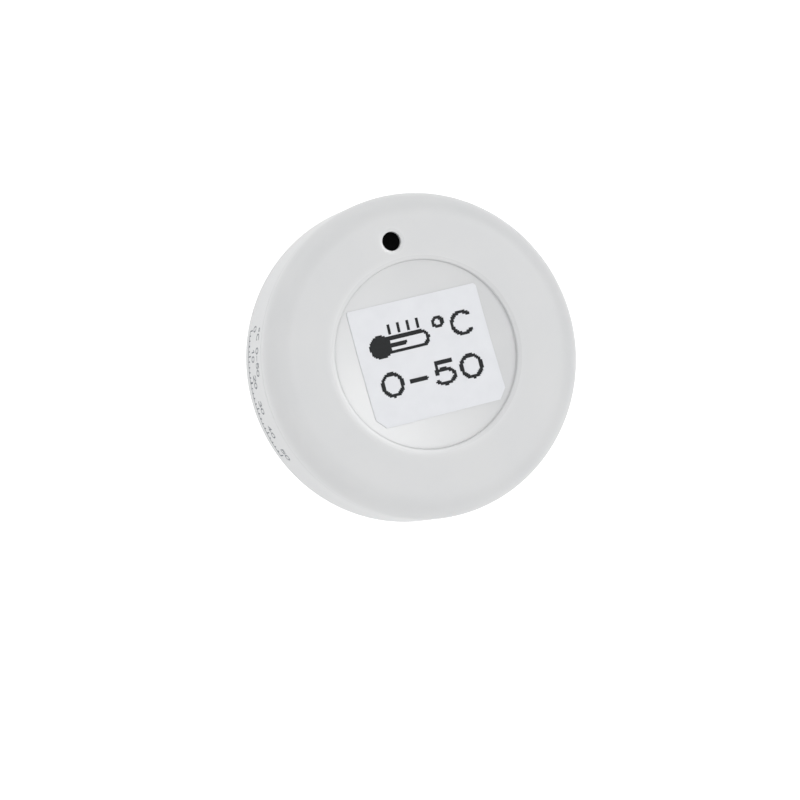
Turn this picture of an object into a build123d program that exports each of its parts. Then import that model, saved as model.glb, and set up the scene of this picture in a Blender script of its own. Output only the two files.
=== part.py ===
from build123d import *
import math
import os

# A round wireless temperature sensor: a flat puck that lies on its back with its face up.
# Millimetres. The origin is the centre of the flat back, +Z runs out through the face, and the
# small sensing port in the face lies towards +Y.
# The rear cup screws onto the skirt of the front shell. The board, the coin cell and the
# thermistor hang in the front shell, and the cell is reached from the back with the cup off.

# Housing
BODY_RADIUS = 18.0
BODY_HEIGHT = 10.0
SPLIT_HEIGHT = 6.9          # parting line between the rear cup and the front shell
SPLIT_GAP = 0.04
SPLIT_CHAMFER = 0.12        # each half's edge is broken at the parting line
EDGE_RADIUS = 2.7           # soft rounding of the front edge
BACK_CHAMFER = 0.5
FACE_WALL = 1.4
REAR_WALL = 1.3

# Round pocket in the face, which takes a paper label
POCKET_RADIUS = 10.3
POCKET_DEPTH = 0.7
POCKET_EDGE = 0.1
POCKET_WALL = 1.2
POCKET_STEP = 0.9           # the wall under the pocket reaches this far past its rim

# Screwed joint between the halves; the thread stands in the gap between skirt and socket
SKIRT_RADIUS = 16.2
SKIRT_BORE = 15.0
SKIRT_END = 4.1
SKIRT_LEAD_IN = 0.3
SOCKET_RADIUS = 16.6
LEDGE_HEIGHT = 3.3
CUP_BORE = 15.3

# Rubber seal between the skirt's end and the ledge of the cup, as it is when squeezed
SEAL_RADIUS = 15.94
SEAL_WIDTH = 0.98
SEAL_CLEAR = 0.03

# Coin slot across the back, and the ribs on the other side of that wall
SLOT_LENGTH = 17.0
SLOT_WIDTH = 2.0
SLOT_DEPTH = 0.6
SLOT_EDGE = 0.15
CUP_RIB_HEIGHT = 0.3
CUP_RIB_WIDTH = 0.7
CUP_RIB_RING = 9.3
CUP_SPOKES = 8
PAD_RADIUS = 7.5
PAD_THICKNESS = 0.65

# Ribs inside the front shell
RIB_ANGLES = (0, 60, 120, 180, 240, 300)
RIB_WIDTH = 0.9
RIB_DEPTH = 0.6
REST_REACH = 0.75           # stub of each rib, from the skirt inwards, that the board rests on

# Sensing port in the face, with the black rubber boot that closes it from inside
PORT_PLACE = 12.9           # distance from the middle, towards +Y
PORT_RADIUS = 1.05
PORT_EDGE = 0.12
COLLAR_RADIUS = 2.4
COLLAR_DROP = 0.8
BOOT_RADIUS = 1.65
BOOT_TOP = 9.6              # the nipple all but fills the port
BOOT_BOTTOM = 7.3
BEAD_RADIUS = 0.55
BEAD_BOTTOM = 8.2
BEAD_TOP = 9.2
LEAD_RADIUS = 0.15
LEAD_SPREAD = 0.3
LEAD_TAIL = 0.3             # the leads stick out this far under the board

# Circuit board, which hangs from three bosses under the face
BOARD_RADIUS = 14.8
BOARD_THICKNESS = 0.8
BOARD_BOTTOM = 5.6
NOTCH_ANGLE = 75.0
NOTCH_WIDTH = 1.6
NOTCH_DEPTH = 0.75
KEY_CLEAR = 0.15            # room round the key of the shell that stands in the notch
KEY_DROP = 0.2
SCREW_ANGLES = (30, 150, 270)
SCREW_PLACE = 13.0
SCREW_RADIUS = 0.75
SCREW_HOLE = 0.9
SCREW_LENGTH = 2.7
HEAD_RADIUS = 1.3
HEAD_HEIGHT = 0.7
BOSS_RADIUS = 1.6

# Coin cell of the 20 mm size, 3.2 mm high, with its lid towards the board
CELL_RADIUS = 10.0
CELL_BOTTOM = 2.05
CELL_HEIGHT = 3.2
CELL_SHEET = 0.3
CELL_CRIMP = 0.25           # the can's crimped lip lies this far below the lid
CELL_EDGE = 0.25
LID_RADIUS = 8.7
LID_STEP = 0.5
GASKET_WIDTH = 0.3

# Moulded ring under the board that the cell snaps into
HOLDER_RADIUS = 11.25
HOLDER_BORE = 10.15
HOLDER_BOTTOM = 2.3
HOOK_ANGLES = (45, 165, 285)
HOOK_WIDTH = 2.6
HOOK_BOTTOM = 1.72
HOOK_REACH = 9.5            # the hooks' lips reach in to this radius
HOOK_NOSE = 0.1
HOOK_SLOPE = 0.35
PEG_ANGLES = (120, 300)
PEG_RADIUS = 0.45
PEG_HEAD_RADIUS = 0.75
PEG_HEAD_HEIGHT = 0.3
THUMB_NOTCH_ANGLE = 225.0
THUMB_NOTCH_WIDTH = 6.0
SIDE_OPENING = 4.0

# Sprung contacts of the cell: a strip that presses on its side, and three fingers on its lid
SIDE_STRIP = 0.2
SIDE_STRIP_WIDTH = 3.0
SIDE_FOOT = 1.8
SIDE_KNEE = 1.3             # the knee lies this far under the board
SIDE_TOUCH_HEIGHT = 3.5
SIDE_TIP_HEIGHT = 2.7
SIDE_TIP_FLARE = 0.6
SIDE_BENDS = [0.3, 0.8, 0.6]
FINGER_STRIP = 0.12
FINGER_WIDTH = 1.4
FINGER_ANGLES = (90, 210, 330)
FINGER_ROOT = 2.4
FINGER_TOUCH = (4.6, 5.4)   # each finger lies on the lid between these radii
FINGER_TIP = 6.0
FINGER_BEND = 0.5
CENTRE_PAD_RADIUS = 1.6

# Paper label, cut by hand, with its lower corners clipped
LABEL_TURN = -4.0           # degrees
LABEL_THICKNESS = 0.1
LABEL_OUTLINE = [
    (-7.62, 6.42), (7.2, 6.4), (7.45, 6.1), (7.94, -5.59),
    (7.09, -6.74), (-6.31, -6.86), (-7.36, -5.75), (-7.76, 6.2),
]

# Small two-ended chips on the board: the body's length, width and height, and for each chip
# its place and its turn in degrees
CAPACITOR_SIZE = (0.7, 0.7, 0.6)
CAPACITOR_PLACES = [
    (-6.6, 5.2, 0), (-4.2, 6.0, 0), (-1.4, 6.0, 0), (1.8, 3.2, 90), (1.8, -0.2, 90),
    (-5.6, -3.0, 90), (0.6, -3.4, 90), (8.4, -3.0, 0), (8.4, 1.0, 0), (-8.2, 4.6, 0),
]
RESISTOR_SIZE = (0.7, 0.65, 0.4)
RESISTOR_PLACES = [
    (6.6, 3.4, 90), (6.6, -1.2, 90), (2.2, 7.8, 0), (-2.2, 8.6, 0), (0.0, -7.2, 0), (3.6, -7.4, 0),
]
CHIP_END = 0.3
CHIP_END_PROUD = 0.03       # the tinned ends stand proud of the body by this much

# Larger parts on the board: length, width, height, and place
RADIO_SIZE = (6.0, 6.0, 0.85)
RADIO_PLACE = (-2.6, 1.2)
RADIO_CORNER_CUT = 0.4
MEMORY_SIZE = (3.0, 2.0, 0.75)
MEMORY_PLACE = (4.2, 5.6)
MAIN_CRYSTAL_SIZE = (2.5, 2.0, 0.55)
MAIN_CRYSTAL_PLACE = (-2.6, -4.4)
CLOCK_CRYSTAL_SIZE = (1.5, 3.2, 0.75)
CLOCK_CRYSTAL_PLACE = (-8.2, 1.4)
CRYSTAL_ROUND = 0.25
ANTENNA_SIZE = (2.0, 7.0, 0.9)
ANTENNA_PLACE = (11.4, -1.4)
INDUCTOR_SIZE = (2.6, 2.2, 1.1)
INDUCTOR_PLACE = (3.6, -4.4)
INDUCTOR_CORNER_CUT = 0.25
TANK_SIZE = (2.2, 2.5, 1.4)
TANK_PLACE = (-8.2, -5.0)
SWITCH_SIZE = (2.9, 1.3, 0.9)
SWITCH_PLACE = (4.0, 1.2)
SWITCH_LIFT = 0.1
LEG_STRIP = 0.12
LEG_WIDTH = 0.4
LEG_SHOULDER = 0.5          # height at which a leg leaves the switch
LEG_STEPS = (0.2, 0.3, 0.7) # how far its shoulder, its heel and its toe stand out
LEG_SPOTS = [(-0.95, -90), (0.95, -90), (0.0, 90)]

# Heights and radii that follow from the dimensions above
INNER_TOP = BODY_HEIGHT - FACE_WALL
POCKET_FLOOR = BODY_HEIGHT - POCKET_DEPTH
POCKET_UNDER = POCKET_FLOOR - POCKET_WALL
STEP_RADIUS = POCKET_RADIUS + POCKET_STEP
COLLAR_BOTTOM = INNER_TOP - COLLAR_DROP
BOARD_TOP = BOARD_BOTTOM + BOARD_THICKNESS
CELL_TOP = CELL_BOTTOM + CELL_HEIGHT
PEG_PLACE = (HOLDER_RADIUS + HOLDER_BORE) / 2
LEAD_PLACES = [(-LEAD_SPREAD, PORT_PLACE), (LEAD_SPREAD, PORT_PLACE)]

# Working values
FIT = 0.02                  # clearance of pieces that are seated in each other
BITE = 0.1                  # what is moulded onto a wall starts this far inside it
FAR = 20.0                  # longer than any cut that goes right through


def polar(radius, degrees):
    """Point at a distance and an angle from the middle, in plan."""
    angle = math.radians(degrees)
    return (radius * math.cos(angle), radius * math.sin(angle))


def disc(radius, bottom, top, place=(0, 0)):
    """Upright cylinder between two heights."""
    return Pos(place[0], place[1], bottom) * extrude(Circle(radius), top - bottom)


def block(length, width, bottom, top, place=(0, 0), turn=0.0):
    """Upright box between two heights, turned about its own middle."""
    plate = Pos(place[0], place[1], bottom) * Rot(0, 0, turn) * Rectangle(length, width)
    return extrude(plate, top - bottom)


def bar(inner, outer, width, bottom, top, angle):
    """Upright box that runs outwards from one radius to another, at an angle."""
    return block(outer - inner, width, bottom, top, polar((inner + outer) / 2, angle), angle)


def turned(section):
    """Solid of revolution about +Z, from a face drawn as radius and height."""
    return revolve(Plane.XZ * section, Axis.Z)


def corner(section, radius, height):
    """The vertex of a section that is nearest to a radius and a height."""
    near = Vector(radius, height, 0)
    return section.vertices().sort_by(lambda vertex: (Vector(vertex) - near).length)[0]


def shell_section():
    """Half section of the front shell: face, pocket, rounded edge and skirt."""
    section = make_face(Polyline(
        (0, POCKET_FLOOR),
        (POCKET_RADIUS, POCKET_FLOOR),
        (POCKET_RADIUS, BODY_HEIGHT),
        (BODY_RADIUS, BODY_HEIGHT),
        (BODY_RADIUS, SPLIT_HEIGHT),
        (SKIRT_RADIUS, SPLIT_HEIGHT),
        (SKIRT_RADIUS, SKIRT_END),
        (SKIRT_BORE, SKIRT_END),
        (SKIRT_BORE, INNER_TOP),
        (STEP_RADIUS, INNER_TOP),
        (STEP_RADIUS, POCKET_UNDER),
        (0, POCKET_UNDER),
        close=True,
    ))
    section = fillet(corner(section, BODY_RADIUS, BODY_HEIGHT), EDGE_RADIUS)
    section = chamfer(corner(section, POCKET_RADIUS, BODY_HEIGHT), POCKET_EDGE)
    section = chamfer(corner(section, BODY_RADIUS, SPLIT_HEIGHT), SPLIT_CHAMFER)
    return chamfer(corner(section, SKIRT_RADIUS, SKIRT_END), SKIRT_LEAD_IN)


def make_front_shell():
    """Front half of the housing, with the bosses, ribs and port collar moulded inside it."""
    shell = turned(shell_section())

    # Radial ribs under the face; each ends in a stub that the board's edge rests on
    rib_start = STEP_RADIUS - BITE
    rest_start = SKIRT_BORE - REST_REACH
    end = SKIRT_BORE + BITE
    for angle in RIB_ANGLES:
        shell += bar(rib_start, end, RIB_WIDTH, INNER_TOP - RIB_DEPTH, INNER_TOP, angle)
        shell += bar(rest_start, end, RIB_WIDTH, BOARD_TOP, INNER_TOP, angle)

    # Bosses for the board's screws, tied to the skirt
    for angle in SCREW_ANGLES:
        place = polar(SCREW_PLACE, angle)
        shell += disc(BOSS_RADIUS, BOARD_TOP, INNER_TOP + BITE, place)
        shell += bar(rest_start, end, RIB_WIDTH, BOARD_TOP, INNER_TOP, angle)
        shell -= disc(SCREW_RADIUS + FIT, BOARD_TOP - BITE, INNER_TOP, place)

    # Key that fits the board's notch, so that the board goes in only one way round
    key_start = BOARD_RADIUS - NOTCH_DEPTH + KEY_CLEAR
    key_width = NOTCH_WIDTH - 2 * KEY_CLEAR
    shell += bar(key_start, end, key_width, BOARD_BOTTOM - KEY_DROP, INNER_TOP, NOTCH_ANGLE)

    # Port through the face, with a collar behind it that holds the rubber boot
    port = (0, PORT_PLACE)
    shell += disc(COLLAR_RADIUS, COLLAR_BOTTOM, INNER_TOP + BITE, port)
    shell -= disc(BOOT_RADIUS + FIT, COLLAR_BOTTOM - BITE, INNER_TOP, port)
    shell -= disc(PORT_RADIUS, INNER_TOP - BITE, BODY_HEIGHT + BITE, port)
    mouth = Vector(0, PORT_PLACE, BODY_HEIGHT)
    rim = shell.edges().sort_by(lambda edge: (edge.center() - mouth).length)[0]
    return chamfer(rim, PORT_EDGE)


def make_rear_cup():
    """Rear half of the housing: a cup whose socket takes the front shell's skirt."""
    top = SPLIT_HEIGHT - SPLIT_GAP
    section = make_face(Polyline(
        (0, 0),
        (BODY_RADIUS, 0),
        (BODY_RADIUS, top),
        (SOCKET_RADIUS, top),
        (SOCKET_RADIUS, LEDGE_HEIGHT),
        (CUP_BORE, LEDGE_HEIGHT),
        (CUP_BORE, REAR_WALL),
        (0, REAR_WALL),
        close=True,
    ))
    section = chamfer(corner(section, BODY_RADIUS, 0), BACK_CHAMFER)
    section = chamfer(corner(section, BODY_RADIUS, top), SPLIT_CHAMFER)
    section = chamfer(corner(section, SOCKET_RADIUS, top), SKIRT_LEAD_IN)
    cup = turned(section)

    # Ring and spokes that stiffen the back inside
    rib_top = REAR_WALL + CUP_RIB_HEIGHT
    foot = REAR_WALL - BITE
    ring = disc(CUP_RIB_RING, foot, rib_top)
    cup += ring - disc(CUP_RIB_RING - CUP_RIB_WIDTH, 0, FAR)
    for spoke in range(CUP_SPOKES):
        angle = (spoke + 0.5) * 360 / CUP_SPOKES
        cup += bar(CUP_RIB_RING - BITE, CUP_BORE + BITE, CUP_RIB_WIDTH, foot, rib_top, angle)

    # Coin slot, with its edge broken
    cup -= extrude(SlotOverall(SLOT_LENGTH, SLOT_WIDTH), SLOT_DEPTH)
    at_back = cup.edges().filter_by_position(Axis.Z, -FIT, FIT)
    mouth = [edge for edge in at_back if edge.bounding_box().size.X <= SLOT_LENGTH]
    return chamfer(mouth, SLOT_EDGE)


def make_seal_ring():
    """Rubber ring, flattened between the skirt's end and the cup's ledge."""
    low = LEDGE_HEIGHT + SEAL_CLEAR
    high = SKIRT_END - SEAL_CLEAR
    outer = disc(SEAL_RADIUS + SEAL_WIDTH / 2, low, high)
    return outer - disc(SEAL_RADIUS - SEAL_WIDTH / 2, 0, FAR)


def make_pressure_pad():
    """Foam disc inside the back, which steadies the cell."""
    return disc(PAD_RADIUS, REAR_WALL, REAR_WALL + PAD_THICKNESS)


def make_face_label():
    """Thin paper on the floor of the pocket."""
    outline = make_face(Polyline(*LABEL_OUTLINE, close=True))
    return Pos(0, 0, POCKET_FLOOR) * Rot(0, 0, LABEL_TURN) * extrude(outline, LABEL_THICKNESS)


def make_sensor_boot():
    """Black rubber cap with a nipple that fills the port and a bore for the thermistor."""
    port = (0, PORT_PLACE)
    boot = disc(BOOT_RADIUS, BOOT_BOTTOM, INNER_TOP, port)
    boot += disc(PORT_RADIUS - FIT, INNER_TOP, BOOT_TOP, port)
    return boot - disc(BEAD_RADIUS, 0, BEAD_TOP, port)


def make_thermistor_bead():
    """Glass bead of the thermistor, inside the boot."""
    return disc(BEAD_RADIUS, BEAD_BOTTOM, BEAD_TOP, (0, PORT_PLACE))


def make_thermistor_leads():
    """Two wires that run from the bead down through the board."""
    low = BOARD_BOTTOM - LEAD_TAIL
    return Compound([disc(LEAD_RADIUS, low, BEAD_BOTTOM, place) for place in LEAD_PLACES])


def make_circuit_board():
    """Round board with its screw holes, peg holes, lead holes and key notch."""
    board = disc(BOARD_RADIUS, BOARD_BOTTOM, BOARD_TOP)
    holes = [(SCREW_HOLE, polar(SCREW_PLACE, angle)) for angle in SCREW_ANGLES]
    holes += [(PEG_RADIUS, polar(PEG_PLACE, angle)) for angle in PEG_ANGLES]
    holes += [(LEAD_RADIUS, place) for place in LEAD_PLACES]
    for radius, place in holes:
        board -= disc(radius, 0, FAR, place)
    notch_place = polar(BOARD_RADIUS, NOTCH_ANGLE)
    return board - block(2 * NOTCH_DEPTH, NOTCH_WIDTH, 0, FAR, notch_place, NOTCH_ANGLE)


def make_board_screws():
    """Three small pan-head screws that go up through the board into the bosses."""
    head = disc(HEAD_RADIUS, BOARD_BOTTOM - HEAD_HEIGHT, BOARD_BOTTOM)
    screw = head + disc(SCREW_RADIUS, BOARD_BOTTOM, BOARD_BOTTOM + SCREW_LENGTH)
    return Compound([Pos(*polar(SCREW_PLACE, angle), 0) * screw for angle in SCREW_ANGLES])


def make_cell_can():
    """Steel can of the cell, its positive pole, with the lip crimped in over the gasket."""
    lip = CELL_TOP - CELL_CRIMP
    bore = LID_RADIUS + GASKET_WIDTH
    section = make_face(Polyline(
        (0, CELL_BOTTOM),
        (CELL_RADIUS, CELL_BOTTOM),
        (CELL_RADIUS, lip),
        (bore, lip),
        (bore, CELL_BOTTOM + CELL_SHEET),
        (0, CELL_BOTTOM + CELL_SHEET),
        close=True,
    ))
    section = chamfer(corner(section, CELL_RADIUS, CELL_BOTTOM), CELL_EDGE)
    return turned(chamfer(corner(section, CELL_RADIUS, lip), CELL_EDGE))


def make_cell_gasket():
    """Plastic ring that keeps the can and the lid apart."""
    low = CELL_BOTTOM + CELL_SHEET
    return disc(LID_RADIUS + GASKET_WIDTH, low, CELL_TOP - CELL_CRIMP / 2) - disc(LID_RADIUS, 0, FAR)


def make_cell_lid():
    """Stepped lid of the cell, its negative pole, with the filling below it."""
    low = CELL_BOTTOM + CELL_SHEET
    step = CELL_TOP - CELL_CRIMP
    section = make_face(Polyline(
        (0, low),
        (LID_RADIUS, low),
        (LID_RADIUS, step),
        (LID_RADIUS - LID_STEP, CELL_TOP),
        (0, CELL_TOP),
        close=True,
    ))
    return turned(section)


def make_cell_holder():
    """Moulded ring that the cell snaps into from the back, staked to the board by two pegs."""
    section = make_face(Polyline(
        (HOLDER_BORE, BOARD_BOTTOM),
        (HOLDER_BORE, CELL_BOTTOM - FIT),
        (HOOK_REACH, CELL_BOTTOM - FIT),
        (HOOK_REACH, CELL_BOTTOM - FIT - HOOK_NOSE),
        (HOOK_REACH + HOOK_SLOPE, HOOK_BOTTOM),
        (HOLDER_RADIUS, HOOK_BOTTOM),
        (HOLDER_RADIUS, BOARD_BOTTOM),
        close=True,
    ))
    ring = turned(section)

    # The lip that catches the can's rim is cut away except at the hooks
    waste = disc(FAR, 0, HOLDER_BOTTOM)
    inner = HOOK_REACH - BITE
    outer = HOLDER_RADIUS + BITE
    for angle in HOOK_ANGLES:
        waste -= bar(inner, outer, HOOK_WIDTH, 0, HOLDER_BOTTOM, angle)
    ring -= waste

    # Opening for the side contact, and a notch that lets a nail get behind the cell
    notch_top = CELL_BOTTOM + CELL_HEIGHT / 2
    ring -= bar(inner, outer, SIDE_OPENING, 0, FAR, 0)
    ring -= bar(inner, outer, THUMB_NOTCH_WIDTH, 0, notch_top, THUMB_NOTCH_ANGLE)

    # Pegs through the board, with their staked heads
    for angle in PEG_ANGLES:
        place = polar(PEG_PLACE, angle)
        ring += disc(PEG_RADIUS, BOARD_BOTTOM - BITE, BOARD_TOP + BITE, place)
        ring += disc(PEG_HEAD_RADIUS, BOARD_TOP, BOARD_TOP + PEG_HEAD_HEIGHT, place)
    return ring


def bent_strip(path, thickness, width, side):
    """Sheet metal strip: a path drawn as radius and height, given a thickness and a width."""
    section = make_face(offset(path, amount=thickness, side=side))
    return extrude(Plane.XZ * section, width / 2, both=True)


def make_positive_contact():
    """Spring strip, soldered under the board, that presses on the side of the can."""
    root = HOLDER_RADIUS + BITE
    path = FilletPolyline(
        (root + SIDE_FOOT, BOARD_BOTTOM),
        (root, BOARD_BOTTOM),
        (HOLDER_RADIUS - SIDE_STRIP, BOARD_BOTTOM - SIDE_KNEE),
        (CELL_RADIUS + FIT, SIDE_TOUCH_HEIGHT),
        (CELL_RADIUS + SIDE_TIP_FLARE, SIDE_TIP_HEIGHT),
        radius=SIDE_BENDS,
    )
    return bent_strip(path, SIDE_STRIP, SIDE_STRIP_WIDTH, Side.LEFT)


def make_negative_contact():
    """Three-fingered spring in the middle of the board that presses on the cell's lid."""
    root = BOARD_BOTTOM - FINGER_STRIP
    path = FilletPolyline(
        (CENTRE_PAD_RADIUS / 2, root),
        (FINGER_ROOT, root),
        (FINGER_TOUCH[0], CELL_TOP),
        (FINGER_TOUCH[1], CELL_TOP),
        (FINGER_TIP, CELL_TOP + FINGER_STRIP),
        radius=FINGER_BEND,
    )
    finger = bent_strip(path, FINGER_STRIP, FINGER_WIDTH, Side.LEFT)
    spring = disc(CENTRE_PAD_RADIUS, root, BOARD_BOTTOM)
    for angle in FINGER_ANGLES:
        spring += Rot(0, 0, angle) * finger
    return spring


def chip(size, place, turn=0.0, lift=0.0):
    """Plain package that stands on the board: size is length, width and height."""
    low = BOARD_TOP + lift
    return block(size[0], size[1], low, low + size[2], place, turn)


def upright_edges(solid):
    """The four standing edges of a box."""
    return solid.edges().filter_by(Axis.Z)


def make_radio_chip():
    """Square radio processor; one corner is cut to show how it goes on."""
    body = chip(RADIO_SIZE, RADIO_PLACE)
    first = upright_edges(body).sort_by(lambda edge: edge.center().X - edge.center().Y)[0]
    return chamfer(first, RADIO_CORNER_CUT)


def make_memory_chip():
    """Memory that keeps the readings."""
    return chip(MEMORY_SIZE, MEMORY_PLACE)


def make_main_crystal():
    """Metal-lidded crystal that sets the radio's frequency."""
    return fillet(upright_edges(chip(MAIN_CRYSTAL_SIZE, MAIN_CRYSTAL_PLACE)), CRYSTAL_ROUND)


def make_clock_crystal():
    """Smaller crystal that keeps time between readings."""
    return fillet(upright_edges(chip(CLOCK_CRYSTAL_SIZE, CLOCK_CRYSTAL_PLACE)), CRYSTAL_ROUND)


def make_chip_antenna():
    """Ceramic aerial at the board's edge."""
    return chip(ANTENNA_SIZE, ANTENNA_PLACE)


def make_power_inductor():
    """Moulded inductor with broken corners."""
    return chamfer(upright_edges(chip(INDUCTOR_SIZE, INDUCTOR_PLACE)), INDUCTOR_CORNER_CUT)


def make_tank_capacitor():
    """Large capacitor that carries the radio's bursts of current."""
    return chip(TANK_SIZE, TANK_PLACE)


def make_wake_switch():
    """Magnet switch that wakes the sensor from store."""
    return chip(SWITCH_SIZE, SWITCH_PLACE, lift=SWITCH_LIFT)


def make_wake_switch_legs():
    """Three gull-wing legs of the magnet switch, two on one side and one on the other."""
    x, y = SWITCH_PLACE
    edge = SWITCH_SIZE[1] / 2
    shoulder, heel, toe = (edge + step for step in LEG_STEPS)
    path = Polyline(
        (edge, BOARD_TOP + LEG_SHOULDER),
        (shoulder, BOARD_TOP + LEG_SHOULDER),
        (heel, BOARD_TOP),
        (toe, BOARD_TOP),
    )
    leg = bent_strip(path, LEG_STRIP, LEG_WIDTH, Side.LEFT)
    return Compound([Pos(x + along, y, 0) * Rot(0, 0, turn) * leg for along, turn in LEG_SPOTS])


def chip_ends(size, place, turn=0.0):
    """The two tinned ends of a chip: size is that of the body between them."""
    end = (CHIP_END, size[1] + 2 * CHIP_END_PROUD, size[2] + CHIP_END_PROUD)
    reach = (size[0] + CHIP_END) / 2
    spots = []
    for side in (-1, 1):
        dx, dy = polar(side * reach, turn)
        spots.append(chip(end, (place[0] + dx, place[1] + dy), turn))
    return spots


def make_chip_capacitors():
    """Bodies of the small capacitors."""
    return Compound([chip(CAPACITOR_SIZE, (x, y), turn) for x, y, turn in CAPACITOR_PLACES])


def make_chip_resistors():
    """Bodies of the small resistors."""
    return Compound([chip(RESISTOR_SIZE, (x, y), turn) for x, y, turn in RESISTOR_PLACES])


def make_chip_terminals():
    """Tinned ends of the small chips, of the antenna and of the tank capacitor."""
    ends = []
    for x, y, turn in CAPACITOR_PLACES:
        ends += chip_ends(CAPACITOR_SIZE, (x, y), turn)
    for x, y, turn in RESISTOR_PLACES:
        ends += chip_ends(RESISTOR_SIZE, (x, y), turn)
    for size, place in ((ANTENNA_SIZE, ANTENNA_PLACE), (TANK_SIZE, TANK_PLACE)):
        length, width, height = size
        ends += chip_ends((width, length, height), place, 90)
    return Compound(ends)


NODES = {
    "front_shell": make_front_shell,
    "rear_cup": make_rear_cup,
    "seal_ring": make_seal_ring,
    "pressure_pad": make_pressure_pad,
    "face_label": make_face_label,
    "sensor_boot": make_sensor_boot,
    "thermistor_bead": make_thermistor_bead,
    "thermistor_leads": make_thermistor_leads,
    "circuit_board": make_circuit_board,
    "board_screws": make_board_screws,
    "cell_can": make_cell_can,
    "cell_gasket": make_cell_gasket,
    "cell_lid": make_cell_lid,
    "cell_holder": make_cell_holder,
    "positive_contact": make_positive_contact,
    "negative_contact": make_negative_contact,
    "radio_chip": make_radio_chip,
    "memory_chip": make_memory_chip,
    "main_crystal": make_main_crystal,
    "clock_crystal": make_clock_crystal,
    "chip_antenna": make_chip_antenna,
    "power_inductor": make_power_inductor,
    "tank_capacitor": make_tank_capacitor,
    "wake_switch": make_wake_switch,
    "wake_switch_legs": make_wake_switch_legs,
    "chip_capacitors": make_chip_capacitors,
    "chip_resistors": make_chip_resistors,
    "chip_terminals": make_chip_terminals,
}

os.makedirs("parts", exist_ok=True)
for name, make in NODES.items():
    export_step(make(), f"parts/{name}.step")
    print("wrote", name)
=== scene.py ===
import bpy
import numpy as np
from mathutils import Matrix, Vector


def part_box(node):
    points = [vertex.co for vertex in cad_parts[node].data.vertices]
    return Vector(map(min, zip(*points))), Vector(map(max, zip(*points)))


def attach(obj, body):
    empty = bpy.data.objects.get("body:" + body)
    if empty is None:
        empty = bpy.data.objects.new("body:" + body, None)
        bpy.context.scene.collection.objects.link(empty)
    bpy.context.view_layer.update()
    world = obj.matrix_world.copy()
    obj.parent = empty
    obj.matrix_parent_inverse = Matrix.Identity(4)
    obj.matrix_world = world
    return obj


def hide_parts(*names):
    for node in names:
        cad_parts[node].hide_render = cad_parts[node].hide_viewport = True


# A round wireless temperature sensor: a flat puck that lies on its back with its face up.
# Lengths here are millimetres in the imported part's frame; a mesh is made from them in metres.

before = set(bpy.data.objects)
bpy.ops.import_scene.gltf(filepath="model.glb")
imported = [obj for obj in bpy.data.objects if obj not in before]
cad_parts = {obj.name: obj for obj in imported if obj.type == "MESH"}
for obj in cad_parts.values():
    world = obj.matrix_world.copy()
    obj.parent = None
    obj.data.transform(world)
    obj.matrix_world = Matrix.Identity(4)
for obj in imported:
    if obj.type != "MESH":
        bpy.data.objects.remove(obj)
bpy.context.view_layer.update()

MM = 0.001
WELD = 5                    # decimals of a millimetre to which points are told apart
NEAR = 1e-4                 # a length shorter than this counts as none
CREASE = 50.0               # an edge sharper than this many degrees stays sharp
SIDES = 432                 # points round the housing
SMALL_SIDES = 72            # points round a boss, a boot or a collar
FEWEST_ARC_POINTS = 5       # points on the smallest rounding
COARSE_STEP, COARSE_ARC = 1.2, 0.16     # spacing of points on the housing's profiles
FINE_STEP, FINE_ARC = 0.3, 0.05         # and on those of the small pieces


def extent(node):
    """Largest x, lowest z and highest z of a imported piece, in millimetres."""
    low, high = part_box(node)
    return high.x / MM, low.z / MM, high.z / MM


# Housing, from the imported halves
BODY_RADIUS, SKIRT_END, BODY_HEIGHT = extent("front_shell")
CUP_TOP = extent("rear_cup")[2]
PARTING_GAP = 0.04
SPLIT_HEIGHT = CUP_TOP + PARTING_GAP
EDGE_RADIUS = 2.7           # the rounded front edge
SPLIT_EDGE = 0.12           # both edges of the parting line
BACK_EDGE = 0.5
FACE_CROWN = 0.05           # the face falls this much towards the wall
FACE_TOP_RADIUS = 11.8      # where the face is highest
FACE_LIP = 0.08             # the face falls this much towards the pocket
DRAFT_AT_TOP = 0.01         # the cup's wall stands this far inside the body's radius at its top
DRAFT_AT_BACK = 0.06
INNER_TOP = BODY_HEIGHT - 1.4       # the shell's ceiling
REAR_WALL = 1.3             # thickness of the back

# Round pocket in the face
POCKET_RADIUS = 10.38
POCKET_SHALLOW = 0.48       # depth at the rim
POCKET_DISH = 0.5           # the floor is this much deeper in the middle
POCKET_LEAN = 0.04          # the pocket's wall leans outwards this much
POCKET_RIM = 0.15           # rounding where the face goes over into the pocket
POCKET_FOOT = 0.05
POCKET_ARC = 0.07           # spacing of points on those roundings
POCKET_UNDER = BODY_HEIGHT - 1.9    # the shell's ceiling under the pocket
STEP_RADIUS = 11.2          # the ceiling steps up outside this radius

# Smooth places in the grained plastic: the middle, how many times over height counts, and the distances
# from it at which the polish ends and the full grain begins
POLISH = 0.45               # roughness there, as a share of the face's
SMOOTH_POCKET = ((0, 0, BODY_HEIGHT - 0.3), 8.0, POCKET_RADIUS + 0.4, POCKET_RADIUS + 1.4)

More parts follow.
